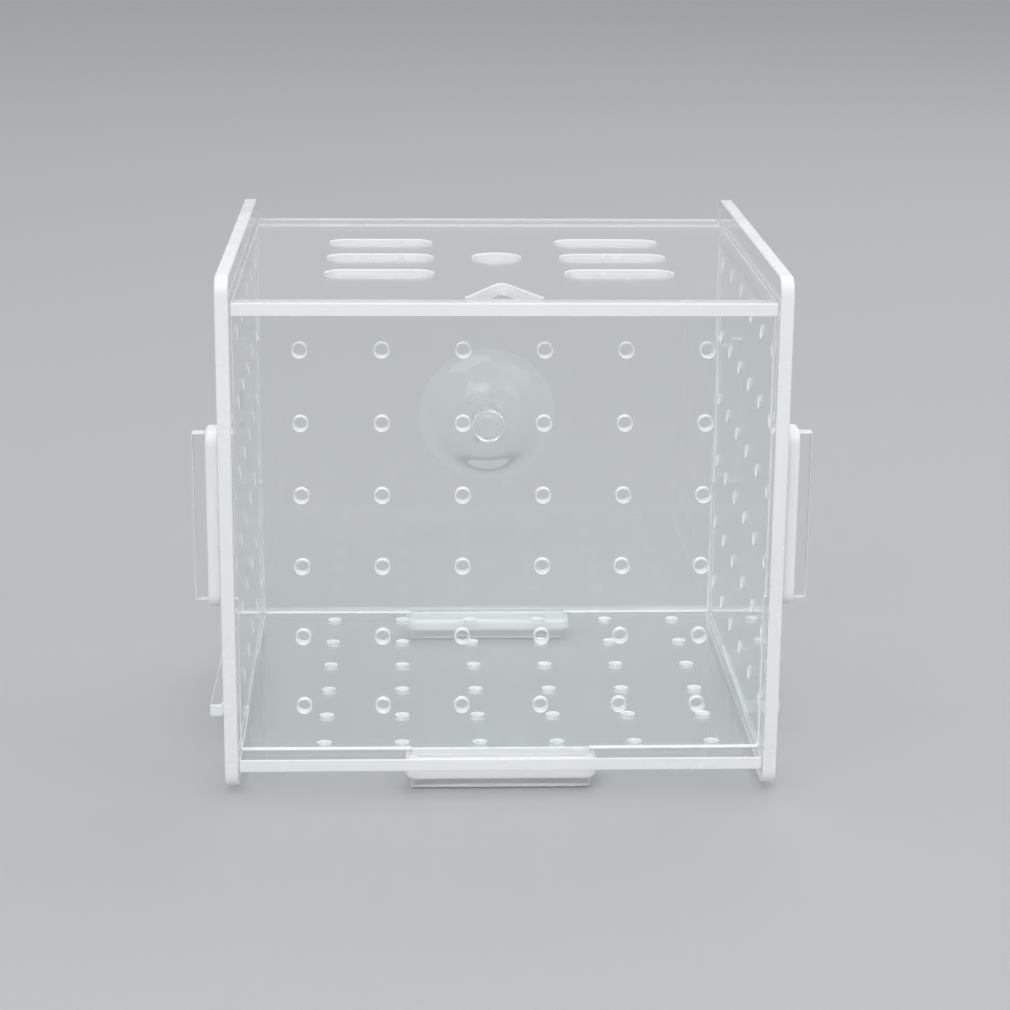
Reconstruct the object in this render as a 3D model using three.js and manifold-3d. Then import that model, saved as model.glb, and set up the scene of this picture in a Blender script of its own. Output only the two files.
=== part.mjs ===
// Fish breeding box: a hanging nursery box of laser-cut clear acrylic sheet.
// Five plates lock together with tabs that reach out through slots. Rubber rings sit in the
// notches of four tabs, a loose lid drops in between the sides, and one suction cup holds the
// box to the glass of a tank. Millimetres, +Z up, the front faces -Y.
import * as THREE from "three";
import { mergeVertices } from "three/addons/utils/BufferGeometryUtils.js";
import Module from "manifold-3d";

const wasm = await Module();
wasm.setup();

// Driving sizes of the box
const sheet = 3; // thickness of every acrylic plate
const innerWidth = 120; // between the two side plates
const innerDepth = 98; // between the front plate and the back plate
const innerHeight = 102.4; // from the floor plate to the top of the front plate
const overhang = 5; // sides, floor and lid run on past the front and back plates
const sideLip = 5.5; // sides stand above the lid
const footDrop = 4.3; // sides reach below the floor plate
const sideCornerRadius = 4;
const plateCornerRadius = 0.8; // small round on the corners of the other plates
const fitGap = 0.25; // clearance between plates, and of a tab in its slot

// Tabs and the rubber rings that lock them
const ringCord = 2.8; // width and height of the rubber ring's section
const ringSquareness = 4; // 2 gives a round section, more gives flatter sides
const ringGap = 0.15; // clearance of a ring to its tab, and in its notch
const hookLength = 2.9; // solid end of a tab, past the notch
const uprightTabLength = 38.8; // tabs on the front and back plates, through the sides
const floorTabLength = 41.2; // tabs through the floor plate, and the floor's own tabs
const uprightNotchDepth = 1.8;
const floorNotchDepth = 1.6;
const uprightTabRise = 4.8; // upright tabs sit above the middle of their plate

// Water holes
const holeDiameter = 3;
const holePitch = 18; // across and from front to back
const rowPitch = 16.6; // up the plates
const leastLandAcross = 10; // from the outer holes' centres to the side plates
const leastLandUp = 7.8; // from the top and bottom rows' centres to the plate's ends
const leastLandDeep = 3.9; // from the first and last rows' centres to the front and back plates
const frontHolesRise = 1.3; // the front plate's holes sit above its middle
const floorHolesShift = 4.3; // the floor's holes sit to the right of its middle

// Lid openings
const lidGap = 0.4; // clearance between the lid and each side plate
const lidRestGap = 0.2; // clearance between the lid and the plates that it rests on
const slotLength = 25;
const slotWidth = 8.5;
const slotPitch = 20.6; // from slot to slot, front to back
const slotRows = 3;
const slotOffset = 27.7; // from the lid's middle line to the middle of a slot
const feedHoleDiameter = 11.5;
const fingerWidth = 18.4; // base of the triangular finger hole
const fingerDepth = 19.8; // from its base to its tip
const fingerLand = 5.2; // from the lid's front edge to the base
const fingerRound = 1.2; // radius of the triangle's corners

// Suction cup
const cupRimRadius = 18;
const cupNeckRadius = 3;
const cupHeadRadius = 4.3;
const cupHeadLength = 3.4;
const cupHeadRoundShare = 0.7; // how much of the head's length its round edge takes
const cupPlay = 0.3; // clearance of the cup's neck in its hole, and at both faces of the plate
const cupBossRadius = 6.2;
const cupBossLength = 2.2; // straight part behind the plate, before the cup spreads
const cupSpread = 7; // length over which the cup spreads to its rim
const cupWall = 1.6;
const cupRimLand = 1.2; // width of the flat ring that meets the glass

// How finely round shapes are cut, and how far a cutter runs past each face
const overrun = 1;
const holeSides = 12;
const feedHoleSides = 32;
const cornerSteps = 5; // steps of a quarter turn
const slotEndSteps = 10; // steps of a slot's half round end
const cordSides = 12;
const bendSteps = 4; // steps of a ring's quarter turn
const latheSides = 32;
const flareSteps = 6; // steps of the cup from its boss to its rim

// Places that follow from the sizes
const notchLength = ringCord + 2 * ringGap;
const tabReach = notchLength + hookLength; // how far a tab stands out past the plate it locks
const floorUnder = tabReach;
const floorTop = floorUnder + sheet;
const uprightFoot = floorTop + fitGap;
const uprightTop = floorTop + innerHeight;
const uprightMiddle = (floorTop + uprightTop) / 2;
const lidUnder = uprightTop + lidRestGap;
const sideFoot = floorUnder - footDrop;
const sideTop = lidUnder + sheet + sideLip;
const depth = innerDepth + 2 * (overhang + sheet);
const frontFace = overhang;
const backInner = overhang + sheet + innerDepth;
const tabMiddleUp = uprightMiddle + uprightTabRise;
const cupUp = uprightMiddle + frontHolesRise;
const cupFlareStart = sheet + cupPlay + cupBossLength;
const cupRimAt = cupFlareStart + cupSpread;
const overallDepth = backInner + cupRimAt;

const clearAcrylic = { color: 0xe9f2f2, roughness: 0.05, metalness: 0, transparent: true, opacity: 0.35 };
const whiteRubber = { color: 0xf1f1ee, roughness: 0.6, metalness: 0 };
const clearVinyl = { color: 0xdde8e8, roughness: 0.2, metalness: 0, transparent: true, opacity: 0.5 };

// Points on an arc, both ends included
function arc(x, y, radius, start, turn, steps) {
  const points = [];
  for (let i = 0; i <= steps; i += 1) {
    const angle = start + (turn * i) / steps;
    points.push(new THREE.Vector2(x + radius * Math.cos(angle), y + radius * Math.sin(angle)));
  }
  return points;
}

function circleShape(x, y, radius, sides) {
  const points = arc(x, y, radius, 0, 2 * Math.PI, sides);
  points.pop();
  return new THREE.Shape(points);
}

function rectangleShape(left, low, right, high) {
  return new THREE.Shape([
    new THREE.Vector2(left, low),
    new THREE.Vector2(right, low),
    new THREE.Vector2(right, high),
    new THREE.Vector2(left, high),
  ]);
}

// Outline of a tab from its shoulder outwards: u runs along the plate's edge, v away from it.
// It fills its slot, narrows at the notch for the rubber ring, and widens again at its end.
function tabOutline(length, notchDepth) {
  const half = length / 2;
  const root = half - notchDepth;
  const through = sheet + fitGap;
  const notchEnd = through + notchLength;
  const end = notchEnd + hookLength;
  const rising = [[half, 0], [half, through], [root, through], [root, notchEnd], [half, notchEnd], [half, end]];
  const mirrored = rising.map(([u, v]) => [-u, v]);
  return [...mirrored, ...rising.reverse()];
}

// Outline of a plate with a tab on any of its four edges, run anticlockwise from the lower left
function tabbedPlate(left, low, right, high, radius, tabs) {
  const edges = [
    { name: "low", corner: [left, low], out: [0, -1] },
    { name: "right", corner: [right, low], out: [1, 0] },
    { name: "high", corner: [right, high], out: [0, 1] },
    { name: "left", corner: [left, high], out: [-1, 0] },
  ];
  const points = [];
  for (const { name, corner, out } of edges) {
    const along = [-out[1], out[0]];
    const start = Math.atan2(out[1], out[0]) - Math.PI / 2;
    const inX = corner[0] + radius * (along[0] - out[0]);
    const inY = corner[1] + radius * (along[1] - out[1]);
    points.push(...arc(inX, inY, radius, start, Math.PI / 2, cornerSteps));
    const tab = tabs[name];
    if (tab) {
      const baseX = out[0] === 0 ? tab.middle : corner[0];
      const baseY = out[1] === 0 ? tab.middle : corner[1];
      for (const [u, v] of tabOutline(tab.length, tab.notchDepth)) {
        points.push(new THREE.Vector2(baseX + along[0] * u + out[0] * v, baseY + along[1] * u + out[1] * v));
      }
    }
  }
  return new THREE.Shape(points);
}

// How many holes fit in a span at a pitch, as places spread evenly about its middle
function spread(middle, span, pitch) {
  const count = Math.max(1, Math.floor(span / pitch) + 1);
  return Array.from({ length: count }, (_, i) => middle + (i - (count - 1) / 2) * pitch);
}

function holeGrid(across, up) {
  return across.flatMap((x) => up.map((y) => circleShape(x, y, holeDiameter / 2, holeSides)));
}

function solidOf(geometry) {
  const bare = geometry.clone();
  bare.deleteAttribute("normal");
  bare.deleteAttribute("uv");
  const welded = mergeVertices(bare);
  const mesh = new wasm.Mesh({
    numProp: 3,
    vertProperties: new Float32Array(welded.attributes.position.array),
    triVerts: new Uint32Array(welded.index.array),
  });
  return new wasm.Manifold(mesh);
}

// A plate of the sheet's thickness with every opening cut through it
function cutSheet(outline, openings) {
  let plate = solidOf(new THREE.ExtrudeGeometry(outline, { depth: sheet, bevelEnabled: false }));
  for (const opening of openings) {
    const cutter = new THREE.ExtrudeGeometry(opening, { depth: sheet + 2 * overrun, bevelEnabled: false });
    plate = plate.subtract(solidOf(cutter.translate(0, 0, -overrun)));
  }
  const { vertProperties, triVerts } = plate.getMesh();
  const geometry = new THREE.BufferGeometry();
  geometry.setAttribute("position", new THREE.Float32BufferAttribute(vertProperties, 3));
  geometry.setIndex(new THREE.Uint32BufferAttribute(triVerts, 1));
  return geometry;
}

const group = new THREE.Group();
group.position.y = -overallDepth / 2;

function addPiece(name, geometry, finish) {
  const mesh = new THREE.Mesh(geometry, new THREE.MeshStandardMaterial(finish));
  mesh.name = name;
  group.add(mesh);
  return mesh;
}

// Front and back plates are drawn as seen from the front: x across, y up
function uprightShape() {
  const half = innerWidth / 2 - fitGap;
  const sideTab = { middle: tabMiddleUp, length: uprightTabLength, notchDepth: uprightNotchDepth };
  const footTab = { middle: 0, length: floorTabLength, notchDepth: floorNotchDepth };
  const tabs = { left: sideTab, right: sideTab, low: footTab };
  return tabbedPlate(-half, uprightFoot, half, uprightTop, plateCornerRadius, tabs);
}

function placeUpright(mesh, face) {
  mesh.rotation.x = Math.PI / 2;
  mesh.position.y = face + sheet;
}

function frontPanel() {
  const across = spread(0, innerWidth - 2 * leastLandAcross, holePitch);
  const up = spread(uprightMiddle + frontHolesRise, innerHeight - 2 * (leastLandUp + frontHolesRise), rowPitch);
  const plate = cutSheet(uprightShape(), holeGrid(across, up));
  placeUpright(addPiece("front_panel", plate, clearAcrylic), frontFace);
}

function backPanel() {
  const cupHole = circleShape(0, cupUp, cupNeckRadius + cupPlay, latheSides);
  const plate = cutSheet(uprightShape(), [cupHole]);
  placeUpright(addPiece("back_panel", plate, clearAcrylic), backInner);
}

// The floor plate is drawn from above: x across, y from front to back
function bottomPanel() {
  const half = innerWidth / 2 - fitGap;
  const sideTab = { middle: depth / 2, length: floorTabLength, notchDepth: floorNotchDepth };
  const outline = tabbedPlate(-half, 0, half, depth, plateCornerRadius, { left: sideTab, right: sideTab });
  const across = spread(floorHolesShift, innerWidth - 2 * (leastLandAcross + floorHolesShift), holePitch);
  const openings = holeGrid(across, spread(depth / 2, innerDepth - 2 * leastLandDeep, holePitch));
  const slotHalf = floorTabLength / 2 + fitGap;
  for (const face of [frontFace, backInner]) {
    openings.push(rectangleShape(-slotHalf, face - fitGap, slotHalf, face + sheet + fitGap));
  }
  addPiece("bottom_panel", cutSheet(outline, openings), clearAcrylic).position.z = floorUnder;
}

// Side plates are drawn from the right: x from front to back, y up
function sidePanel(name, innerEdge) {
  const outline = tabbedPlate(0, sideFoot, depth, sideTop, sideCornerRadius, {});
  const middle = depth / 2;
  const up = spread((sideFoot + sideTop) / 2, innerHeight - 2 * leastLandUp, rowPitch);
  const openings = holeGrid(spread(middle, innerDepth - 2 * leastLandDeep, holePitch), up);
  const uprightHalf = uprightTabLength / 2 + fitGap;
  for (const face of [frontFace, backInner]) {
    const low = tabMiddleUp - uprightHalf;
    const high = tabMiddleUp + uprightHalf;
    openings.push(rectangleShape(face - fitGap, low, face + sheet + fitGap, high));
  }
  const floorHalf = floorTabLength / 2 + fitGap;
  openings.push(rectangleShape(middle - floorHalf, floorUnder - fitGap, middle + floorHalf, floorTop + fitGap));
  const mesh = addPiece(name, cutSheet(outline, openings), clearAcrylic);
  const [x, y, z] = [new THREE.Vector3(1, 0, 0), new THREE.Vector3(0, 1, 0), new THREE.Vector3(0, 0, 1)];
  mesh.quaternion.setFromRotationMatrix(new THREE.Matrix4().makeBasis(y, z, x));
  mesh.position.x = innerEdge;
}

// A slot with round ends, long from left to right
function slotShape(x, y) {
  const radius = slotWidth / 2;
  const reach = slotLength / 2 - radius;
  const right = arc(x + reach, y, radius, -Math.PI / 2, Math.PI, slotEndSteps);
  const left = arc(x - reach, y, radius, Math.PI / 2, Math.PI, slotEndSteps);
  return new THREE.Shape([...right, ...left]);
}

// The finger hole: a triangle with round corners, its base towards the front edge
function fingerShape() {
  const lean = Math.atan2(fingerDepth, fingerWidth / 2); // base angle of the triangle
  const inset = fingerRound / Math.tan(lean / 2);
  const left = [-fingerWidth / 2 + inset, fingerLand + fingerRound];
  const right = [fingerWidth / 2 - inset, fingerLand + fingerRound];
  const tip = [0, fingerLand + fingerDepth - fingerRound / Math.cos(lean)];
  const baseTurn = Math.PI - lean;
  return new THREE.Shape([
    ...arc(right[0], right[1], fingerRound, -Math.PI / 2, baseTurn, cornerSteps),
    ...arc(tip[0], tip[1], fingerRound, Math.PI / 2 - lean, 2 * lean, cornerSteps),
    ...arc(left[0], left[1], fingerRound, Math.PI / 2 + lean, baseTurn, cornerSteps),
  ]);
}

function lid() {
  const half = innerWidth / 2 - lidGap;
  const outline = tabbedPlate(-half, 0, half, depth, plateCornerRadius, {});
  const openings = [circleShape(0, depth / 2, feedHoleDiameter / 2, feedHoleSides), fingerShape()];
  for (const side of [-1, 1]) {
    for (let row = 0; row < slotRows; row += 1) {
      openings.push(slotShape(side * slotOffset, depth / 2 + (row - (slotRows - 1) / 2) * slotPitch));
    }
  }
  addPiece("lid", cutSheet(outline, openings), clearAcrylic).position.z = lidUnder;
}

// A rubber ring, as cut from a thick tube, stretched into a loop that hugs the root of a tab in
// its notch. The loop lies in x and y about its own middle, with its length along x.
function ringGeometry(tabLength, notchDepth) {
  const cord = ringCord / 2;
  const bend = cord + ringGap; // radius of the section's middle line at the tab's corners
  const halfLength = tabLength / 2 - notchDepth;
  const halfWidth = sheet / 2;
  const quarter = Math.PI / 2;
  const corners = [[1, 1], [-1, 1], [-1, -1], [1, -1]];
  const stations = [];
  corners.forEach(([signX, signY], index) => {
    for (let i = 0; i <= bendSteps; i += 1) {
      const angle = quarter * (index + i / bendSteps);
      const outward = new THREE.Vector3(Math.cos(angle), Math.sin(angle), 0);
      const corner = new THREE.Vector3(signX * halfLength, signY * halfWidth, 0);
      stations.push({ middle: corner.addScaledVector(outward, bend), outward });
    }
  });
  const flatten = (value) => Math.sign(value) * Math.abs(value) ** (2 / ringSquareness);
  const positions = [];
  for (const { middle, outward } of stations) {
    for (let side = 0; side < cordSides; side += 1) {
      const angle = (2 * Math.PI * side) / cordSides;
      const point = middle.clone().addScaledVector(outward, cord * flatten(Math.cos(angle)));
      positions.push(point.x, point.y, cord * flatten(Math.sin(angle)));
    }
  }
  const indices = [];
  stations.forEach((_, station) => {
    const next = (station + 1) % stations.length;
    for (let side = 0; side < cordSides; side += 1) {
      const turn = (side + 1) % cordSides;
      const [a, b] = [station * cordSides + side, next * cordSides + side];
      const [c, d] = [next * cordSides + turn, station * cordSides + turn];
      indices.push(a, b, c, a, c, d);
    }
  });
  const geometry = new THREE.BufferGeometry();
  geometry.setAttribute("position", new THREE.Float32BufferAttribute(positions, 3));
  geometry.setIndex(indices);
  return geometry;
}

// Rings on the front plate's side tabs stand upright against the side plates
function sideRing(name, side) {
  const mesh = addPiece(name, ringGeometry(uprightTabLength, uprightNotchDepth), whiteRubber);
  mesh.rotation.y = Math.PI / 2;
  mesh.position.set(side * (innerWidth / 2 + sheet + notchLength / 2), frontFace + sheet / 2, tabMiddleUp);
}

// Rings on the foot tabs lie flat under the floor plate
function floorRing(name, face) {
  const mesh = addPiece(name, ringGeometry(floorTabLength, floorNotchDepth), whiteRubber);
  mesh.position.set(0, face + sheet / 2, floorUnder - notchLength / 2);
}

// The suction cup turns in its hole: a round head inside the box, a neck through the plate,
// and the cup behind. Radius first, then the distance back from the plate's inner face.
function suctionCup() {
  const headBack = -cupPlay;
  const headFront = headBack - cupHeadLength;
  const headRound = cupHeadLength * cupHeadRoundShare;
  const head = [];
  for (let i = 0; i <= bendSteps; i += 1) {
    const angle = (Math.PI / 2) * (i / bendSteps);
    const r = cupHeadRadius - headRound + headRound * Math.sin(angle);
    head.push(new THREE.Vector2(r, headFront + headRound - headRound * Math.cos(angle)));
  }
  const rimInner = cupRimRadius - cupRimLand;
  const outerSkin = [];
  const innerSkin = [];
  for (let i = 0; i <= flareSteps; i += 1) {
    const share = i / flareSteps;
    const swell = Math.sin((share * Math.PI) / 2);
    const outerR = cupBossRadius + (cupRimRadius - cupBossRadius) * share;
    outerSkin.push(new THREE.Vector2(outerR, cupFlareStart + cupSpread * swell ** 2));
    const innerR = rimInner * (1 - share);
    const hollow = (cupSpread - cupWall) * Math.cos(((1 - share) * Math.PI) / 2) ** 2;
    innerSkin.push(new THREE.Vector2(innerR, cupRimAt - hollow));
  }
  const profile = [
    new THREE.Vector2(0, headFront),
    ...head,
    new THREE.Vector2(cupHeadRadius, headBack),
    new THREE.Vector2(cupNeckRadius, headBack),
    new THREE.Vector2(cupNeckRadius, sheet + cupPlay),
    new THREE.Vector2(cupBossRadius, sheet + cupPlay),
    ...outerSkin,
    ...innerSkin,
  ];
  const mesh = addPiece("suction_cup", new THREE.LatheGeometry(profile, latheSides), clearVinyl);
  mesh.position.set(0, backInner, cupUp);
}

frontPanel();
backPanel();
bottomPanel();
sidePanel("left_side_panel", -innerWidth / 2 - sheet);
sidePanel("right_side_panel", innerWidth / 2);
lid();
sideRing("left_ring", -1);
sideRing("right_ring", 1);
floorRing("front_ring", frontFace);
floorRing("rear_ring", backInner);
suctionCup();

export default group;
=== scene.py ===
import bpy
import bmesh
import math
from mathutils import Matrix, Vector


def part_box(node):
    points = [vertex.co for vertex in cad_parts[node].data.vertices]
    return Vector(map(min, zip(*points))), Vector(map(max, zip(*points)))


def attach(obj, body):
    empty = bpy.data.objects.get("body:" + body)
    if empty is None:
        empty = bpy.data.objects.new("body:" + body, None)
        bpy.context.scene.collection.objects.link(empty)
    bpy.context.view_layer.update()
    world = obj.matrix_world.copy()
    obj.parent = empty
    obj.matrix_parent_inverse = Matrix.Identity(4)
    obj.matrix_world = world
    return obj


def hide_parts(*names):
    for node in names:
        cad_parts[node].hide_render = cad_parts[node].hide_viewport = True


# Fish breeding box: laser-cut clear acrylic plates, white rubber rings, one suction cup.
# Metres, +Z up, the front faces -Y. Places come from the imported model's own boxes.
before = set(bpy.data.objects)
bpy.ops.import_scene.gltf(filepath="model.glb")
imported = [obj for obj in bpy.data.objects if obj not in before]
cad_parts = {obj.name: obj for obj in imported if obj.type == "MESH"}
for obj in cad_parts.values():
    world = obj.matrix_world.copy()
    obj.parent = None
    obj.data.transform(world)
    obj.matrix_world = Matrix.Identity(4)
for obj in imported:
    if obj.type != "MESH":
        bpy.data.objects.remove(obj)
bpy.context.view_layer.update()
print("frame loaded:", len(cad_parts), "nodes")

# Camera at the photograph's viewing angle
camera = {
    "place": (-0.02162, -0.59212, 0.2199), "angles": (74.22, -0.485, -2.212),
    "lens": 89.11, "sensorWidth": 36, "clipStart": 0.01,
}
cameraData = bpy.data.cameras.new("camera")
cameraData.lens = camera["lens"]
cameraData.sensor_width = camera["sensorWidth"]
cameraData.clip_start = camera["clipStart"]
cameraObject = bpy.data.objects.new("camera", cameraData)
cameraObject.location = camera["place"]
cameraObject.rotation_euler = [math.radians(angle) for angle in camera["angles"]]
bpy.context.scene.collection.objects.link(cameraObject)
bpy.context.scene.camera = cameraObject
print("camera placed")


# Small helpers for materials
def newMaterial(name):
    material = bpy.data.materials.new(name)
    material.use_nodes = True
    material.node_tree.nodes.clear()
    return material, material.node_tree.nodes, material.node_tree.links


def objectCoordinates(nodes, links, scale=(1, 1, 1)):
    coordinates = nodes.new("ShaderNodeTexCoord")
    mapping = nodes.new("ShaderNodeMapping")
    mapping.inputs["Scale"].default_value = scale
    links.new(coordinates.outputs["Object"], mapping.inputs["Vector"])
    return mapping.outputs["Vector"]


def noise(nodes, links, vector, scale, detail, roughness=0.5):
    texture = nodes.new("ShaderNodeTexNoise")
    texture.inputs["Scale"].default_value = scale
    texture.inputs["Detail"].default_value = detail
    texture.inputs["Roughness"].default_value = roughness
    links.new(vector, texture.inputs["Vector"])
    return texture.outputs["Fac"]


def mapRange(nodes, links, value, fromRange, toRange):
    node = nodes.new("ShaderNodeMapRange")
    node.inputs["From Min"].default_value, node.inputs["From Max"].default_value = fromRange
    node.inputs["To Min"].default_value, node.inputs["To Max"].default_value = toRange
    links.new(value, node.inputs["Value"])
    return node.outputs["Result"]


def mixColours(nodes, links, factor, first, second):
    node = nodes.new("ShaderNodeMix")
    node.data_type = "RGBA"
    node.inputs["A"].default_value = (*first, 1)
    node.inputs["B"].default_value = (*second, 1)
    links.new(factor, node.inputs["Factor"])
    return node.outputs["Result"]


def bump(nodes, links, height, strength, distance):
    node = nodes.new("ShaderNodeBump")
    node.inputs["Strength"].default_value = strength
    node.inputs["Distance"].default_value = distance
    links.new(height, node.inputs["Height"])
    return node.outputs["Normal"]


def lampsPassThrough(nodes, links, shader, tint):
    # The lamps' rays go straight through, so that a clear piece keeps what is inside it lit.
    # The tint is the share that comes through: nearly all of it, or about half at a cut edge.
    path = nodes.new("ShaderNodeLightPath")
    clear = nodes.new("ShaderNodeBsdfTransparent")
    clear.inputs["Color"].default_value = (*tint, 1)
    mix = nodes.new("ShaderNodeMixShader")
    links.new(path.outputs["Is Shadow Ray"], mix.inputs["Fac"])
    links.new(shader, mix.inputs[1])
    links.new(clear.outputs["BSDF"], mix.inputs[2])
    return mix.outputs["Shader"]


def finishMaterial(nodes, links, shader, lampTint=None):
    if lampTint:
        shader = lampsPassThrough(nodes, links, shader, lampTint)
    output = nodes.new("ShaderNodeOutputMaterial")
    links.new(shader, output.inputs["Surface"])


clearFinish = {
    "colour": (0.985, 0.996, 0.994), "ior": 1.49, "lampTint": (0.965, 0.975, 0.975),
    "wavesPerMetre": 28, "waveDetail": 1, "waveStrength": 0.05, "waveDepth": 0.0004,
    "smudgesPerMetre": 60, "smudgeDetail": 5, "smudgeRange": (0.5, 0.75), "roughness": (0.0, 0.035),
}


def clearAcrylic():
    # Cast sheet: faces that are very slightly wavy, with faint smudges
    material, nodes, links = newMaterial("clearAcrylic")
    vector = objectCoordinates(nodes, links)
    shader = nodes.new("ShaderNodeBsdfPrincipled")
    shader.inputs["Base Color"].default_value = (*clearFinish["colour"], 1)
    shader.inputs["Transmission Weight"].default_value = 1
    shader.inputs["IOR"].default_value = clearFinish["ior"]
    smudges = noise(nodes, links, vector, clearFinish["smudgesPerMetre"], clearFinish["smudgeDetail"])
    rough = mapRange(nodes, links, smudges, clearFinish["smudgeRange"], clearFinish["roughness"])
    links.new(rough, shader.inputs["Roughness"])
    waves = noise(nodes, links, vector, clearFinish["wavesPerMetre"], clearFinish["waveDetail"])
    wavy = bump(nodes, links, waves, clearFinish["waveStrength"], clearFinish["waveDepth"])
    links.new(wavy, shader.inputs["Normal"])
    finishMaterial(nodes, links, shader.outputs["BSDF"], clearFinish["lampTint"])
    return material


# Cut edges: near-white colours are painted glow from light piped through the sheet, varied in random patches
# of melt
edgeFinish = {
    "paintedGlowBright": (0.975, 0.985, 0.985), "paintedGlowDull": (0.92, 0.945, 0.955), "ior": 1.49, "through": 0.08,
    "lampTint": (0.5, 0.52, 0.52), "linesPerMetre": 900, "lineDetail": 3, "stretch": 0.02,
    "lineStrength": 0.35, "lineDepth": 0.00012, "patchesPerMetre": 45, "patchDetail": 4,
    "patchRange": (0.35, 0.7), "roughness": (0.12, 0.42), "noiseRoughness": 0.6,
}


def cutEdge(name, thicknessAxis):
    # A laser leaves fine lines that run through the sheet's thickness, and patches of melt. The edge's
    # near-white colour is painted glow: it stands in for light piped through the clear sheet to its cut edge.
    material, nodes, links = newMaterial(name)
    across = [1, 1, 1]
    across[thicknessAxis] = edgeFinish["stretch"]
    lined = objectCoordinates(nodes, links, across)
    plain = objectCoordinates(nodes, links)
    shader = nodes.new("ShaderNodeBsdfPrincipled")
    shader.inputs["IOR"].default_value = edgeFinish["ior"]
    shader.inputs["Transmission Weight"].default_value = edgeFinish["through"]
    coarse = edgeFinish["noiseRoughness"]
    patches = noise(nodes, links, plain, edgeFinish["patchesPerMetre"], edgeFinish["patchDetail"], coarse)
    # Painted glow: the near-white edge colour stands in for light leaving the sheet at its edge; the patches
    # vary it at random
    colour = mixColours(nodes, links, patches, edgeFinish["paintedGlowBright"], edgeFinish["paintedGlowDull"])
    links.new(colour, shader.inputs["Base Color"])
    rough = mapRange(nodes, links, patches, edgeFinish["patchRange"], edgeFinish["roughness"])
    links.new(rough, shader.inputs["Roughness"])
    lines = noise(nodes, links, lined, edgeFinish["linesPerMetre"], edgeFinish["lineDetail"], coarse)
    normal = bump(nodes, links, lines, edgeFinish["lineStrength"], edgeFinish["lineDepth"])
    links.new(normal, shader.inputs["Normal"])
    finishMaterial(nodes, links, shader.outputs["BSDF"], edgeFinish["lampTint"])
    return material


rubberFinish = {
    "colour": (0.95, 0.95, 0.94), "worn": (0.89, 0.89, 0.875), "tonesPerMetre": 160, "toneDetail": 4,
    "toneRange": (0.3, 0.7), "roughness": (0.42, 0.62),
    "softness": 0.15, "softRadius": (0.0012, 0.0011, 0.001),
    "grainPerMetre": 3500, "grainDetail": 2, "grainStrength": 0.12, "grainDepth": 0.00006,
}


def whiteRubber():
    material, nodes, links = newMaterial("whiteRubber")
    vector = objectCoordinates(nodes, links)
    shader = nodes.new("ShaderNodeBsdfPrincipled")
    tones = noise(nodes, links, vector, rubberFinish["tonesPerMetre"], rubberFinish["toneDetail"])
    colour = mixColours(nodes, links, tones, rubberFinish["colour"], rubberFinish["worn"])
    links.new(colour, shader.inputs["Base Color"])
    rough = mapRange(nodes, links, tones, rubberFinish["toneRange"], rubberFinish["roughness"])
    links.new(rough, shader.inputs["Roughness"])
    shader.inputs["Subsurface Weight"].default_value = rubberFinish["softness"]
    shader.inputs["Subsurface Radius"].default_value = rubberFinish["softRadius"]
    shader.inputs["Subsurface Scale"].default_value = 1
    grain = noise(nodes, links, vector, rubberFinish["grainPerMetre"], rubberFinish["grainDetail"])
    normal = bump(nodes, links, grain, rubberFinish["grainStrength"], rubberFinish["grainDepth"])
    links.new(normal, shader.inputs["Normal"])
    finishMaterial(nodes, links, shader.outputs["BSDF"])
    return material


vinylFinish = {
    "colour": (0.975, 0.99, 0.99), "clearness": 0.96, "ior": 1.46, "lampTint": (0.94, 0.96, 0.96),
    "cloudsPerMetre": 120, "cloudDetail": 3, "cloudRange": (0.3, 0.7), "roughness": (0.02, 0.08),
    "rippleStrength": 0.1, "rippleDepth": 0.0002,
}


def clearVinyl():
    material, nodes, links = newMaterial("clearVinyl")
    vector = objectCoordinates(nodes, links)
    shader = nodes.new("ShaderNodeBsdfPrincipled")
    shader.inputs["Base Color"].default_value = (*vinylFinish["colour"], 1)
    shader.inputs["Transmission Weight"].default_value = vinylFinish["clearness"]  # the rest is its milkiness
    shader.inputs["IOR"].default_value = vinylFinish["ior"]
    clouds = noise(nodes, links, vector, vinylFinish["cloudsPerMetre"], vinylFinish["cloudDetail"])
    rough = mapRange(nodes, links, clouds, vinylFinish["cloudRange"], vinylFinish["roughness"])
    links.new(rough, shader.inputs["Roughness"])
    ripple = bump(nodes, links, clouds, vinylFinish["rippleStrength"], vinylFinish["rippleDepth"])
    links.new(ripple, shader.inputs["Normal"])
    finishMaterial(nodes, links, shader.outputs["BSDF"], vinylFinish["lampTint"])
    return material


clearFace = clearAcrylic()
edgeAcrossX = cutEdge("cutEdgeAcrossX", 0)
edgeAcrossY = cutEdge("cutEdgeAcrossY", 1)
edgeAcrossZ = cutEdge("cutEdgeAcrossZ", 2)
rubber = whiteRubber()
vinyl = clearVinyl()
print("materials made")


weld = 1e-6  # points nearer than this become one


# Small helpers for Geometry Nodes
def newTree(name, inputs):
    tree = bpy.data.node_groups.new(name, "GeometryNodeTree")
    tree.is_modifier = True
    for label, kind in inputs:
        tree.interface.new_socket(label, in_out="INPUT", socket_type=kind)
    tree.interface.new_socket("Mesh", in_out="OUTPUT", socket_type="NodeSocketGeometry")
    start = tree.nodes.new("NodeGroupInput")
    return tree, start.outputs


def addNode(tree, kind, inputs=None, **settings):
    node = tree.nodes.new(kind)
    for key, value in settings.items():
        setattr(node, key, value)
    for key, value in (inputs or {}).items():
        if isinstance(value, bpy.types.NodeSocket):
            tree.links.new(value, node.inputs[key])
        else:
            node.inputs[key].default_value = value
    return node


def made(tree, kind, inputs=None, **settings):
    # The first output of a new node
    return addNode(tree, kind, inputs, **settings).outputs[0]


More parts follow.
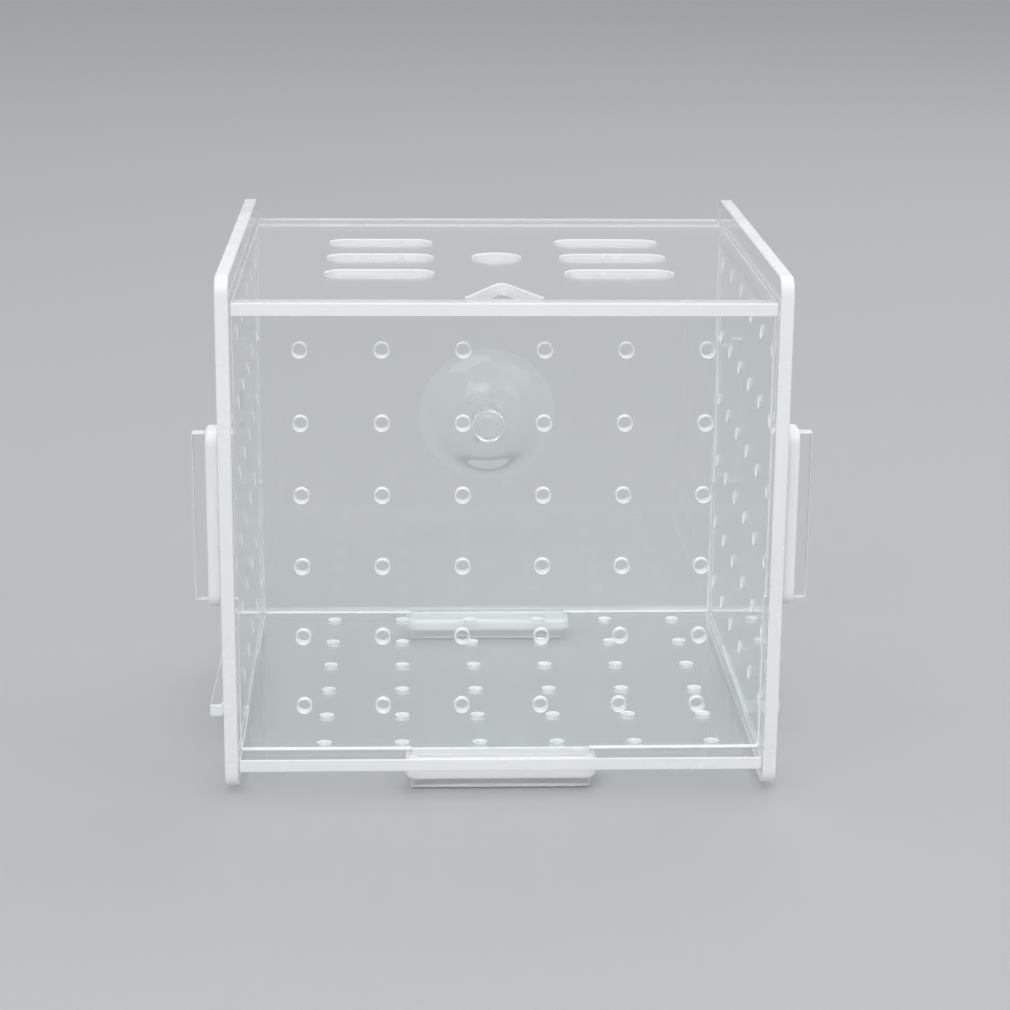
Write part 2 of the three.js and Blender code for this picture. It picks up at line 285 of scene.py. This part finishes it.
def maths(tree, operation, first, second):
    return made(tree, "ShaderNodeMath", {0: first, 1: second}, operation=operation)


def vectorOf(tree, x=0.0, y=0.0, z=0.0):
    return made(tree, "ShaderNodeCombineXYZ", {"X": x, "Y": y, "Z": z})


def joined(tree, *geometries):
    node = tree.nodes.new("GeometryNodeJoinGeometry")
    for geometry in geometries:
        tree.links.new(geometry, node.inputs[0])
    return node.outputs[0]


def runTree(name, tree, values):
    # The tree's result as a plain mesh object, with the modifier and its inputs gone
    host = bpy.data.objects.new(name + "Host", bpy.data.meshes.new(name + "Host"))
    bpy.context.scene.collection.objects.link(host)
    modifier = host.modifiers.new("nodes", "NODES")
    modifier.node_group = tree
    for item in tree.interface.items_tree:
        if item.item_type == "SOCKET" and item.in_out == "INPUT" and item.name in values:
            modifier[item.identifier] = values[item.name]
    bpy.context.view_layer.update()
    evaluated = host.evaluated_get(bpy.context.evaluated_depsgraph_get())
    mesh = bpy.data.meshes.new_from_object(evaluated)
    bpy.data.objects.remove(host)
    piece = bpy.data.objects.new(name, mesh)
    bpy.context.scene.collection.objects.link(piece)
    mesh.name = name
    return piece


def loopsObject(name, loops):
    # Closed outlines as one curve object, which a tree reads through an Object input
    curve = bpy.data.curves.new(name, "CURVE")
    curve.dimensions = "3D"
    for points in loops:
        spline = curve.splines.new("POLY")
        spline.points.add(len(points) - 1)
        for point, (x, y) in zip(spline.points, points):
            point.co = (x, y, 0, 1)
        spline.use_cyclic_u = True
    holder = bpy.data.objects.new(name, curve)
    bpy.context.scene.collection.objects.link(holder)
    return holder


def plateTree():
    # A cut plate: outline and openings swept with the edge's profile, then closed by two faces
    tree, given = newTree("cutPlate", [
        ("Outline", "NodeSocketObject"), ("Opening", "NodeSocketObject"),
        ("Across", "NodeSocketInt"), ("Along", "NodeSocketInt"),
        ("Pitch Across", "NodeSocketFloat"), ("Pitch Along", "NodeSocketFloat"),
        ("Middle Across", "NodeSocketFloat"), ("Middle Along", "NodeSocketFloat"),
        ("Sheet", "NodeSocketFloat"), ("Bevel", "NodeSocketFloat"),
        ("Face", "NodeSocketMaterial"), ("Edge", "NodeSocketMaterial"),
    ])
    outline = addNode(tree, "GeometryNodeObjectInfo", {"Object": given["Outline"]}).outputs["Geometry"]
    opening = addNode(tree, "GeometryNodeObjectInfo", {"Object": given["Opening"]}).outputs["Geometry"]

    # Openings on a grid of points
    spanAcross = maths(tree, "MULTIPLY", maths(tree, "SUBTRACT", given["Across"], 1.0), given["Pitch Across"])
    spanAlong = maths(tree, "MULTIPLY", maths(tree, "SUBTRACT", given["Along"], 1.0), given["Pitch Along"])
    grid = addNode(tree, "GeometryNodeMeshGrid", {
        "Size X": spanAcross, "Size Y": spanAlong,
        "Vertices X": given["Across"], "Vertices Y": given["Along"],
    }).outputs["Mesh"]
    middle = vectorOf(tree, given["Middle Across"], given["Middle Along"])
    grid = made(tree, "GeometryNodeTransform", {"Geometry": grid, "Translation": middle})
    openings = made(tree, "GeometryNodeInstanceOnPoints", {"Points": grid, "Instance": opening})
    openings = made(tree, "GeometryNodeRealizeInstances", {"Geometry": openings})
    loops = joined(tree, outline, openings)
    loops = made(tree, "GeometryNodeSetCurveNormal", {"Curve": loops}, mode="Z_UP")

    # Profile of the edge: x towards the plate's outside, y down through its thickness
    inset = maths(tree, "MULTIPLY", given["Bevel"], -1.0)
    farFace = maths(tree, "MULTIPLY", given["Sheet"], -1.0)
    farWall = maths(tree, "ADD", farFace, given["Bevel"])
    corners = [
        vectorOf(tree, inset, 0.0), vectorOf(tree, 0.0, inset),
        vectorOf(tree, 0.0, farWall), vectorOf(tree, inset, farFace),
    ]
    lines = [
        made(tree, "GeometryNodeCurvePrimitiveLine", {"Start": low, "End": high})
        for low, high in zip(corners, corners[1:])
    ]
    strips = []
    for line in lines:
        strips.append(made(tree, "GeometryNodeCurveToMesh", {"Curve": loops, "Profile Curve": line}))
    wall = joined(tree, *strips)
    wall = made(tree, "GeometryNodeMergeByDistance", {"Geometry": wall, "Distance": weld})

    # The two faces fill the wall's own rim, so that every vertex meets
    position = made(tree, "GeometryNodeInputPosition")
    height = addNode(tree, "ShaderNodeSeparateXYZ", {0: position}).outputs["Z"]
    count = made(tree, "GeometryNodeInputMeshEdgeNeighbors")
    rim = made(tree, "FunctionNodeCompare", {2: count, 3: 1}, data_type="INT", operation="EQUAL")
    half = maths(tree, "MULTIPLY", given["Sheet"], 0.5)
    lowHalf = made(tree, "FunctionNodeCompare", {0: height, 1: half}, operation="LESS_THAN")
    lowRim = made(tree, "FunctionNodeBooleanMath", {0: rim, 1: lowHalf})
    rimCurve = made(tree, "GeometryNodeMeshToCurve", {"Mesh": wall, "Selection": lowRim})
    face = made(tree, "GeometryNodeFillCurve", {"Curve": rimCurve}, mode="TRIANGLES")
    under = made(tree, "GeometryNodeFlipFaces", {"Mesh": face})
    lift = vectorOf(tree, 0.0, 0.0, given["Sheet"])
    over = made(tree, "GeometryNodeTransform", {"Geometry": face, "Translation": lift})

    marked = made(tree, "GeometryNodeStoreNamedAttribute", {
        "Geometry": wall, "Name": "cutWall", "Value": True,
    }, data_type="BOOLEAN", domain="FACE")
    whole = joined(tree, marked, under, over)
    whole = made(tree, "GeometryNodeMergeByDistance", {"Geometry": whole, "Distance": weld})
    whole = made(tree, "GeometryNodeRealizeInstances", {"Geometry": whole})
    whole = made(tree, "GeometryNodeSetMaterial", {"Geometry": whole, "Material": given["Face"]})
    isWall = made(tree, "GeometryNodeInputNamedAttribute", {"Name": "cutWall"}, data_type="BOOLEAN")
    whole = made(tree, "GeometryNodeSetMaterial", {
        "Geometry": whole, "Selection": isWall, "Material": given["Edge"],
    })
    addNode(tree, "NodeGroupOutput", {0: whole})
    return tree


cutPlateTree = plateTree()
print("plate tree made")

sheet = {
    "thickness": 0.003, "bevel": 0.00024, "fitGap": 0.00025, "cornerRadius": 0.0008, "cornerSteps": 6,
    "sharpDegrees": 25,
}
tab = {
    "hook": 0.0029, "notch": 0.0031, "uprightLength": 0.0388, "floorLength": 0.0412,
    "uprightNotchDepth": 0.0018, "floorNotchDepth": 0.0016,
}
tab["through"] = sheet["thickness"] + sheet["fitGap"]
tab["reach"] = tab["through"] + tab["notch"] + tab["hook"]
hole = {"radius": 0.0015, "sides": 24, "pitch": 0.018, "rowPitch": 0.0166}


def arc(x, y, radius, start, turn, steps):
    angles = [start + turn * step / steps for step in range(steps + 1)]
    return [(x + radius * math.cos(angle), y + radius * math.sin(angle)) for angle in angles]


def circle(x, y, radius, sides):
    return arc(x, y, radius, 0, 2 * math.pi, sides)[:-1]


def clockwise(points):
    # Openings run the other way round from the outline, so that their bevel lies in the plate
    area = sum(x0 * y1 - x1 * y0 for (x0, y0), (x1, y1) in zip(points, points[1:] + points[:1]))
    return points if area < 0 else points[::-1]


def rectangle(left, low, right, high):
    return [(left, low), (right, low), (right, high), (left, high)]


def tabPoints(length, notchDepth):
    # From the shoulder outwards: u along the plate's edge, v away from it
    half, root = length / 2, length / 2 - notchDepth
    through, notchEnd = tab["through"], tab["through"] + tab["notch"]
    rising = [
        (half, 0), (half, through), (root, through),
        (root, notchEnd), (half, notchEnd), (half, tab["reach"]),
    ]
    return [(-u, v) for u, v in rising] + rising[::-1]


def plateOutline(left, low, right, high, radius, tabs):
    sides = (("low", (left, low), (0, -1)), ("right", (right, low), (1, 0)),
             ("high", (right, high), (0, 1)), ("left", (left, high), (-1, 0)))
    points = []
    for name, corner, out in sides:
        along = (-out[1], out[0])
        start = math.atan2(out[1], out[0]) - math.pi / 2
        centre = [corner[i] + radius * (along[i] - out[i]) for i in (0, 1)]
        points += arc(*centre, radius, start, math.pi / 2, sheet["cornerSteps"])
        if name in tabs:
            middle, length, notchDepth = tabs[name]
            base = (middle, corner[1]) if out[0] == 0 else (corner[0], middle)
            for u, v in tabPoints(length, notchDepth):
                points.append(tuple(base[i] + along[i] * u + out[i] * v for i in (0, 1)))
    return points


def closedUp(piece):
    # Welds the last doubles, turns every face outwards and shades round walls smooth
    mesh = piece.data
    work = bmesh.new()
    work.from_mesh(mesh)
    bmesh.ops.remove_doubles(work, verts=work.verts, dist=weld)
    bmesh.ops.recalc_face_normals(work, faces=work.faces)
    openEdges = sum(1 for edge in work.edges if not edge.is_manifold)
    volume = work.calc_volume(signed=True)
    work.to_mesh(mesh)
    work.free()
    mesh.shade_smooth()
    mesh.set_sharp_from_angle(angle=math.radians(sheet["sharpDegrees"]))
    mark = mesh.attributes.get("cutWall")
    if mark:
        mesh.attributes.remove(mark)
    print(piece.name, "faces", len(mesh.polygons), "open edges", openEdges,
          "volume ml", round(volume * 1e6, 3))


def settle(piece, node, body):
    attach(piece, body)
    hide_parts(node)
    low, high = (Vector(corner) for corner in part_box(node))
    ownLow = Vector([min(v.co[i] for v in piece.data.vertices) for i in range(3)])
    ownHigh = Vector([max(v.co[i] for v in piece.data.vertices) for i in range(3)])
    offsets = [round(1000 * offset, 3) for offset in (*(ownLow - low), *(ownHigh - high))]
    print(piece.name, "differs from its node by mm", offsets)


def cutPlate(name, outline, openings, opening, grid, place, edge):
    # openings are cut once, and opening at each point of the grid.
    # place: the plate's across, along and outward directions, and its origin
    outer = loopsObject(name + "Outline", [outline] + [clockwise(points) for points in openings])
    repeated = loopsObject(name + "Opening", [clockwise(opening)])
    piece = runTree(name, cutPlateTree, {
        "Outline": outer, "Opening": repeated, "Across": grid["across"], "Along": grid["along"],
        "Pitch Across": grid["pitchAcross"], "Pitch Along": grid["pitchAlong"],
        "Middle Across": grid["middle"][0], "Middle Along": grid["middle"][1],
        "Sheet": sheet["thickness"], "Bevel": sheet["bevel"], "Face": clearFace, "Edge": edge,
    })
    bpy.data.objects.remove(outer)
    bpy.data.objects.remove(repeated)
    across, along, out, origin = place
    matrix = Matrix((across, along, out)).transposed().to_4x4()
    matrix.translation = origin
    piece.data.transform(matrix)
    closedUp(piece)
    return piece


waterHole = circle(0, 0, hole["radius"], hole["sides"])
front = {"sideTabMiddle": 0.065, "holesAcross": 6, "holesUp": 6, "holesMiddle": 0.0615}
back = {"cupHoleRadius": 0.0033, "cupHoleSides": 48}


def uprightOutline(low, high):
    tabs = {
        "left": (front["sideTabMiddle"], tab["uprightLength"], tab["uprightNotchDepth"]),
        "right": (front["sideTabMiddle"], tab["uprightLength"], tab["uprightNotchDepth"]),
        "low": (0, tab["floorLength"], tab["floorNotchDepth"]),
    }
    reach = tab["reach"]
    return plateOutline(low.x + reach, low.z + reach, high.x - reach, high.z, sheet["cornerRadius"], tabs)


def uprightPlace(high):
    return (1, 0, 0), (0, 0, 1), (0, -1, 0), (0, high.y, 0)


def frontPanel():
    low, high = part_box("front_panel")
    grid = {"across": front["holesAcross"], "along": front["holesUp"], "pitchAcross": hole["pitch"],
            "pitchAlong": hole["rowPitch"], "middle": (0, front["holesMiddle"])}
    outline = uprightOutline(low, high)
    piece = cutPlate("frontPlate", outline, [], waterHole, grid, uprightPlace(high), edgeAcrossY)
    settle(piece, "front_panel", "box")


def backPanel():
    low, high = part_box("back_panel")
    grid = {"across": 1, "along": 1, "pitchAcross": 0, "pitchAlong": 0, "middle": (0, front["holesMiddle"])}
    cupHole = circle(0, 0, back["cupHoleRadius"], back["cupHoleSides"])
    outline = uprightOutline(low, high)
    piece = cutPlate("backPlate", outline, [], cupHole, grid, uprightPlace(high), edgeAcrossY)
    settle(piece, "back_panel", "box")


floorPlate = {"holesAcross": 6, "holesAlong": 6, "holesShift": 0.0043}


def bottomPanel():
    low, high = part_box("bottom_panel")
    middle = (low.y + high.y) / 2
    sideTab = (middle, tab["floorLength"], tab["floorNotchDepth"])
    reach = tab["reach"]
    outline = plateOutline(low.x + reach, low.y, high.x - reach, high.y, sheet["cornerRadius"],
                           {"left": sideTab, "right": sideTab})
    half = tab["floorLength"] / 2 + sheet["fitGap"]
    slots = []
    for node in ("front_panel", "back_panel"):
        nodeLow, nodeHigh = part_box(node)
        slots.append(rectangle(-half, nodeLow.y - sheet["fitGap"], half, nodeHigh.y + sheet["fitGap"]))
    grid = {"across": floorPlate["holesAcross"], "along": floorPlate["holesAlong"],
            "pitchAcross": hole["pitch"], "pitchAlong": hole["pitch"],
            "middle": (floorPlate["holesShift"], middle)}
    place = (1, 0, 0), (0, 1, 0), (0, 0, 1), (0, 0, low.z)
    piece = cutPlate("floorPlate", outline, slots, waterHole, grid, place, edgeAcrossZ)
    settle(piece, "bottom_panel", "box")


side = {"cornerRadius": 0.004, "holesAlong": 6, "holesUp": 6}


def sidePanel(name, node):
    low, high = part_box(node)
    middle = (low.y + high.y) / 2
    outline = plateOutline(low.y, low.z, high.y, high.z, side["cornerRadius"], {})
    gap = sheet["fitGap"]
    slots = []
    half = tab["uprightLength"] / 2 + gap
    for plate in ("front_panel", "back_panel"):
        plateLow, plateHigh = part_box(plate)
        slots.append(rectangle(plateLow.y - gap, front["sideTabMiddle"] - half,
                               plateHigh.y + gap, front["sideTabMiddle"] + half))
    floorLow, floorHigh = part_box("bottom_panel")
    half = tab["floorLength"] / 2 + gap
    slots.append(rectangle(middle - half, floorLow.z - gap, middle + half, floorHigh.z + gap))
    grid = {"across": side["holesAlong"], "along": side["holesUp"], "pitchAcross": hole["pitch"],
            "pitchAlong": hole["rowPitch"], "middle": (middle, (low.z + high.z) / 2)}
    place = (0, 1, 0), (0, 0, 1), (1, 0, 0), (low.x, 0, 0)
    piece = cutPlate(name, outline, slots, waterHole, grid, place, edgeAcrossX)
    settle(piece, node, "box")


lid = {
    "slotLength": 0.025, "slotWidth": 0.0085, "slotPitch": 0.0206, "slotOffset": 0.0277, "slotRows": 3,
    "slotSteps": 14, "feedRadius": 0.00575, "feedSides": 64, "fingerWidth": 0.0184, "fingerDepth": 0.0198,
    "fingerLand": 0.0052, "fingerRound": 0.0012, "fingerSteps": 8,
}


def lidSlot():
    radius = lid["slotWidth"] / 2
    reach = lid["slotLength"] / 2 - radius
    right = arc(reach, 0, radius, -math.pi / 2, math.pi, lid["slotSteps"])
    left = arc(-reach, 0, radius, math.pi / 2, math.pi, lid["slotSteps"])
    return right + left


def fingerHole(frontEdge):
    radius, steps = lid["fingerRound"], lid["fingerSteps"]
    lean = math.atan2(lid["fingerDepth"], lid["fingerWidth"] / 2)
    inset = radius / math.tan(lean / 2)
    baseY = frontEdge + lid["fingerLand"] + radius
    tipY = frontEdge + lid["fingerLand"] + lid["fingerDepth"] - radius / math.cos(lean)
    baseX = lid["fingerWidth"] / 2 - inset
    turn = math.pi - lean
    right = arc(baseX, baseY, radius, -math.pi / 2, turn, steps)
    tip = arc(0, tipY, radius, math.pi / 2 - lean, 2 * lean, steps)
    left = arc(-baseX, baseY, radius, math.pi / 2 + lean, turn, steps)
    return right + tip + left


def lidPlate():
    low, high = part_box("lid")
    middle = (low.y + high.y) / 2
    outline = plateOutline(low.x, low.y, high.x, high.y, sheet["cornerRadius"], {})
    openings = [circle(0, middle, lid["feedRadius"], lid["feedSides"]), fingerHole(low.y)]
    grid = {"across": 2, "along": lid["slotRows"], "pitchAcross": 2 * lid["slotOffset"],
            "pitchAlong": lid["slotPitch"], "middle": (0, middle)}
    place = (1, 0, 0), (0, 1, 0), (0, 0, 1), (0, 0, low.z)
    piece = cutPlate("lidPlate", outline, openings, lidSlot(), grid, place, edgeAcrossZ)
    settle(piece, "lid", "lid")


frontPanel()
backPanel()
bottomPanel()
sidePanel("leftSidePlate", "left_side_panel")
sidePanel("rightSidePlate", "right_side_panel")
lidPlate()
print("plates cut")


# Rubber rings: slices of thick tube stretched into a loop, with soft corners and a slight waviness
ring = {
    "halfWidth": 0.0014, "gap": 0.00015, "squareness": 4.0, "bendSteps": 12, "stepLength": 0.0006,
    "sides": 40, "unevenness": 0.00009, "unevenPerMetre": 90, "unevenDetail": 1.0,
}


def ringTree():
    tree, given = newTree("rubberRing", [
        ("Length", "NodeSocketFloat"), ("Width", "NodeSocketFloat"), ("Bend", "NodeSocketFloat"),
        ("Bend Steps", "NodeSocketInt"), ("Step", "NodeSocketFloat"), ("Half Width", "NodeSocketFloat"),
        ("Sides", "NodeSocketInt"), ("Squareness", "NodeSocketFloat"), ("Unevenness", "NodeSocketFloat"),
        ("Uneven Scale", "NodeSocketFloat"), ("Seed", "NodeSocketFloat"), ("Finish", "NodeSocketMaterial"),
    ])
    path = made(tree, "GeometryNodeCurvePrimitiveQuadrilateral",
                {"Width": given["Length"], "Height": given["Width"]})
    path = made(tree, "GeometryNodeFilletCurve", {
        "Curve": path, "Count": given["Bend Steps"], "Radius": given["Bend"], "Limit Radius": True,
    }, mode="POLY")
    path = made(tree, "GeometryNodeResampleCurve", {"Curve": path, "Length": given["Step"]}, mode="LENGTH")
    path = made(tree, "GeometryNodeSetCurveNormal", {"Curve": path}, mode="Z_UP")

    # A unit circle whose sides are flattened: each coordinate keeps its sign and takes a root
    section = made(tree, "GeometryNodeCurvePrimitiveCircle", {"Resolution": given["Sides"], "Radius": 1.0})
    onCircle = made(tree, "GeometryNodeInputPosition")
    corner = addNode(tree, "ShaderNodeSeparateXYZ", {0: onCircle})
    root = maths(tree, "DIVIDE", 2.0, given["Squareness"])
    flattened = []
    for axis in ("X", "Y"):
        size = maths(tree, "ABSOLUTE", corner.outputs[axis], 0.0)
        sign = maths(tree, "SIGN", corner.outputs[axis], 0.0)
        signed = maths(tree, "MULTIPLY", sign, maths(tree, "POWER", size, root))
        flattened.append(maths(tree, "MULTIPLY", signed, given["Half Width"]))
    section = made(tree, "GeometryNodeSetPosition",
                   {"Geometry": section, "Position": vectorOf(tree, *flattened)})
    cord = made(tree, "GeometryNodeCurveToMesh", {"Curve": path, "Profile Curve": section})
    place = made(tree, "GeometryNodeInputPosition")
    uneven = addNode(tree, "ShaderNodeTexNoise", {
        "Vector": place, "W": given["Seed"], "Scale": given["Uneven Scale"], "Detail": ring["unevenDetail"],
    }, noise_dimensions="4D").outputs["Fac"]
    centred = maths(tree, "SUBTRACT", uneven, 0.5)
    amount = maths(tree, "MULTIPLY", centred, given["Unevenness"])
    normal = made(tree, "GeometryNodeInputNormal")
    shift = addNode(tree, "ShaderNodeVectorMath", {0: normal}, operation="SCALE")
    tree.links.new(amount, shift.inputs["Scale"])
    cord = made(tree, "GeometryNodeSetPosition", {"Geometry": cord, "Offset": shift.outputs[0]})
    cord = made(tree, "GeometryNodeRealizeInstances", {"Geometry": cord})
    cord = made(tree, "GeometryNodeSetMaterial", {"Geometry": cord, "Material": given["Finish"]})
    addNode(tree, "NodeGroupOutput", {0: cord})
    return tree


rubberRingTree = ringTree()


def rubberRing(name, node, tabLength, notchDepth, upright, seed):
    low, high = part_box(node)
    bend = ring["halfWidth"] + ring["gap"]
    piece = runTree(name, rubberRingTree, {
        "Length": tabLength - 2 * notchDepth + 2 * bend, "Width": sheet["thickness"] + 2 * bend, "Bend": bend,
        "Bend Steps": ring["bendSteps"], "Step": ring["stepLength"], "Half Width": ring["halfWidth"],
        "Sides": ring["sides"], "Squareness": ring["squareness"], "Unevenness": ring["unevenness"],
        "Uneven Scale": ring["unevenPerMetre"], "Seed": seed, "Finish": rubber,
    })
    turn = Matrix.Rotation(math.pi / 2, 4, "Y") if upright else Matrix.Identity(4)
    piece.data.transform(Matrix.Translation((low + high) / 2) @ turn)
    closedUp(piece)
    piece.data.shade_smooth()
    settle(piece, node, "box")


rubberRing("leftRing", "left_ring", tab["uprightLength"], tab["uprightNotchDepth"], True, 1.0)
rubberRing("rightRing", "right_ring", tab["uprightLength"], tab["uprightNotchDepth"], True, 2.0)
rubberRing("frontRing", "front_ring", tab["floorLength"], tab["floorNotchDepth"], False, 3.0)
rubberRing("rearRing", "rear_ring", tab["floorLength"], tab["floorNotchDepth"], False, 4.0)
print("rings made")


# Suction cup: radius, then distance behind the back plate's inner face
cup = {
    "headRadius": 0.0043, "headLength": 0.0034, "headRoundShare": 0.7, "neckRadius": 0.003, "play": 0.0003,
    "bossRadius": 0.0062, "bossLength": 0.0022, "bossRound": 0.0008, "spread": 0.007, "wall": 0.0016,
    "rimRadius": 0.018, "rimLand": 0.0012, "flareSteps": 28, "headSteps": 12, "turns": 96,
}


def cupProfile():
    headBack = -cup["play"]
    headFront = headBack - cup["headLength"]
    headRound = cup["headLength"] * cup["headRoundShare"]
    points = [(0, headFront)]
    for step in range(cup["headSteps"] + 1):
        angle = math.pi / 2 * step / cup["headSteps"]
        points.append((cup["headRadius"] - headRound * (1 - math.sin(angle)),
                       headFront + headRound * (1 - math.cos(angle))))
    behind = sheet["thickness"] + cup["play"]
    start = behind + cup["bossLength"]
    rimAt = start + cup["spread"]
    points += [(cup["headRadius"], headBack), (cup["neckRadius"], headBack), (cup["neckRadius"], behind)]
    points += [(cup["bossRadius"] - cup["bossRound"], behind), (cup["bossRadius"], behind + cup["bossRound"])]
    rimInner = cup["rimRadius"] - cup["rimLand"]
    outerSkin, innerSkin = [], []
    for step in range(cup["flareSteps"] + 1):
        share = step / cup["flareSteps"]
        outerRadius = cup["bossRadius"] + (cup["rimRadius"] - cup["bossRadius"]) * share
        outerSkin.append((outerRadius, start + cup["spread"] * math.sin(share * math.pi / 2) ** 2))
        hollow = (cup["spread"] - cup["wall"]) * math.cos((1 - share) * math.pi / 2) ** 2
        innerSkin.append((rimInner * (1 - share), rimAt - hollow))
    return points + outerSkin + innerSkin


def suctionCup():
    low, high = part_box("suction_cup")
    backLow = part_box("back_panel")[0]
    centre = (low + high) / 2
    turns = cup["turns"]
    angles = [2 * math.pi * turn / turns for turn in range(turns)]
    work = bmesh.new()
    rows = []
    for radius, behind in cupProfile():
        y = backLow.y + behind
        if radius < weld:
            rows.append([work.verts.new((centre.x, y, centre.z))])
            continue
        circlePoints = [(centre.x + radius * math.cos(angle), y, centre.z + radius * math.sin(angle))
                        for angle in angles]
        rows.append([work.verts.new(point) for point in circlePoints])
    for near, far in zip(rows, rows[1:]):
        for turn in range(turns):
            following = (turn + 1) % turns
            corners = [near[turn % len(near)], near[following % len(near)],
                       far[following % len(far)], far[turn % len(far)]]
            corners = list(dict.fromkeys(corners))
            if len(corners) > 2:
                work.faces.new(corners)
    mesh = bpy.data.meshes.new("suctionCup")
    work.to_mesh(mesh)
    work.free()
    mesh.materials.append(vinyl)
    piece = bpy.data.objects.new("suctionCup", mesh)
    bpy.context.scene.collection.objects.link(piece)
    closedUp(piece)
    settle(piece, "suction_cup", "suction_cup")


suctionCup()
print("suction cup made")


# Floor, world and lamps
stage = {
    "floorRadius": 14.0, "floorSides": 96, "floorColour": (0.5, 0.51, 0.52), "floorRough": 0.95,
    "floorGloss": 0.15, "drop": 0.0002, "horizon": (0.52, 0.53, 0.54), "zenith": (0.66, 0.67, 0.69),
    "skyRange": (0.0, 0.7), "lampAim": (0, 0, 0.05), "bounces": 24, "clearBounces": 48,
}
lamps = (
    ("keyLamp", (-0.45, -1.0, 1.15), (1.2, 0.9), 8.2),
    ("fillLamp", (1.05, -0.6, 1.0), (0.8, 0.8), 3.2),
    ("rearLamp", (0.5, 0.85, 1.3), (1.0, 0.8), 4.25),
)


def floorStage():
    # A hair below the foot tabs' ends, which would flicker against it otherwise
    work = bmesh.new()
    lowered = Matrix.Translation((0, 0, -stage["drop"]))
    bmesh.ops.create_circle(work, cap_ends=True, segments=stage["floorSides"], radius=stage["floorRadius"],
                            matrix=lowered)
    mesh = bpy.data.meshes.new("floor")
    work.to_mesh(mesh)
    work.free()
    floorObject = bpy.data.objects.new("floor", mesh)
    bpy.context.scene.collection.objects.link(floorObject)
    material, nodes, links = newMaterial("paleFloor")
    shader = nodes.new("ShaderNodeBsdfPrincipled")
    shader.inputs["Base Color"].default_value = (*stage["floorColour"], 1)
    shader.inputs["Roughness"].default_value = stage["floorRough"]
    shader.inputs["Specular IOR Level"].default_value = stage["floorGloss"]
    finishMaterial(nodes, links, shader.outputs["BSDF"])
    mesh.materials.append(material)


def worldLight():
    world = bpy.data.worlds.new("paleStudio")
    bpy.context.scene.world = world
    world.use_nodes = True
    nodes, links = world.node_tree.nodes, world.node_tree.links
    nodes.clear()
    coordinates = nodes.new("ShaderNodeTexCoord")
    separate = nodes.new("ShaderNodeSeparateXYZ")
    links.new(coordinates.outputs["Generated"], separate.inputs[0])
    height = mapRange(nodes, links, separate.outputs["Z"], stage["skyRange"], (0, 1))
    colour = mixColours(nodes, links, height, stage["horizon"], stage["zenith"])
    background = nodes.new("ShaderNodeBackground")
    links.new(colour, background.inputs["Color"])
    output = nodes.new("ShaderNodeOutputWorld")
    links.new(background.outputs["Background"], output.inputs["Surface"])


def softLamp(name, place, size, power):
    lamp = bpy.data.lights.new(name, "AREA")
    lamp.shape = "RECTANGLE"
    lamp.size, lamp.size_y = size
    lamp.energy = power
    holder = bpy.data.objects.new(name, lamp)
    holder.location = place
    aim = Vector(stage["lampAim"]) - Vector(place)
    holder.rotation_euler = aim.to_track_quat("-Z", "Y").to_euler()
    bpy.context.scene.collection.objects.link(holder)


floorStage()
worldLight()
for lampValues in lamps:
    softLamp(*lampValues)
scene = bpy.context.scene
scene.view_settings.view_transform = "Standard"
# Light turns back many times inside a clear wall, which goes dark where a count runs out
scene.cycles.max_bounces = stage["bounces"]
scene.cycles.glossy_bounces = stage["bounces"]
scene.cycles.transmission_bounces = stage["bounces"]
scene.cycles.transparent_max_bounces = stage["clearBounces"]
print("stage set")
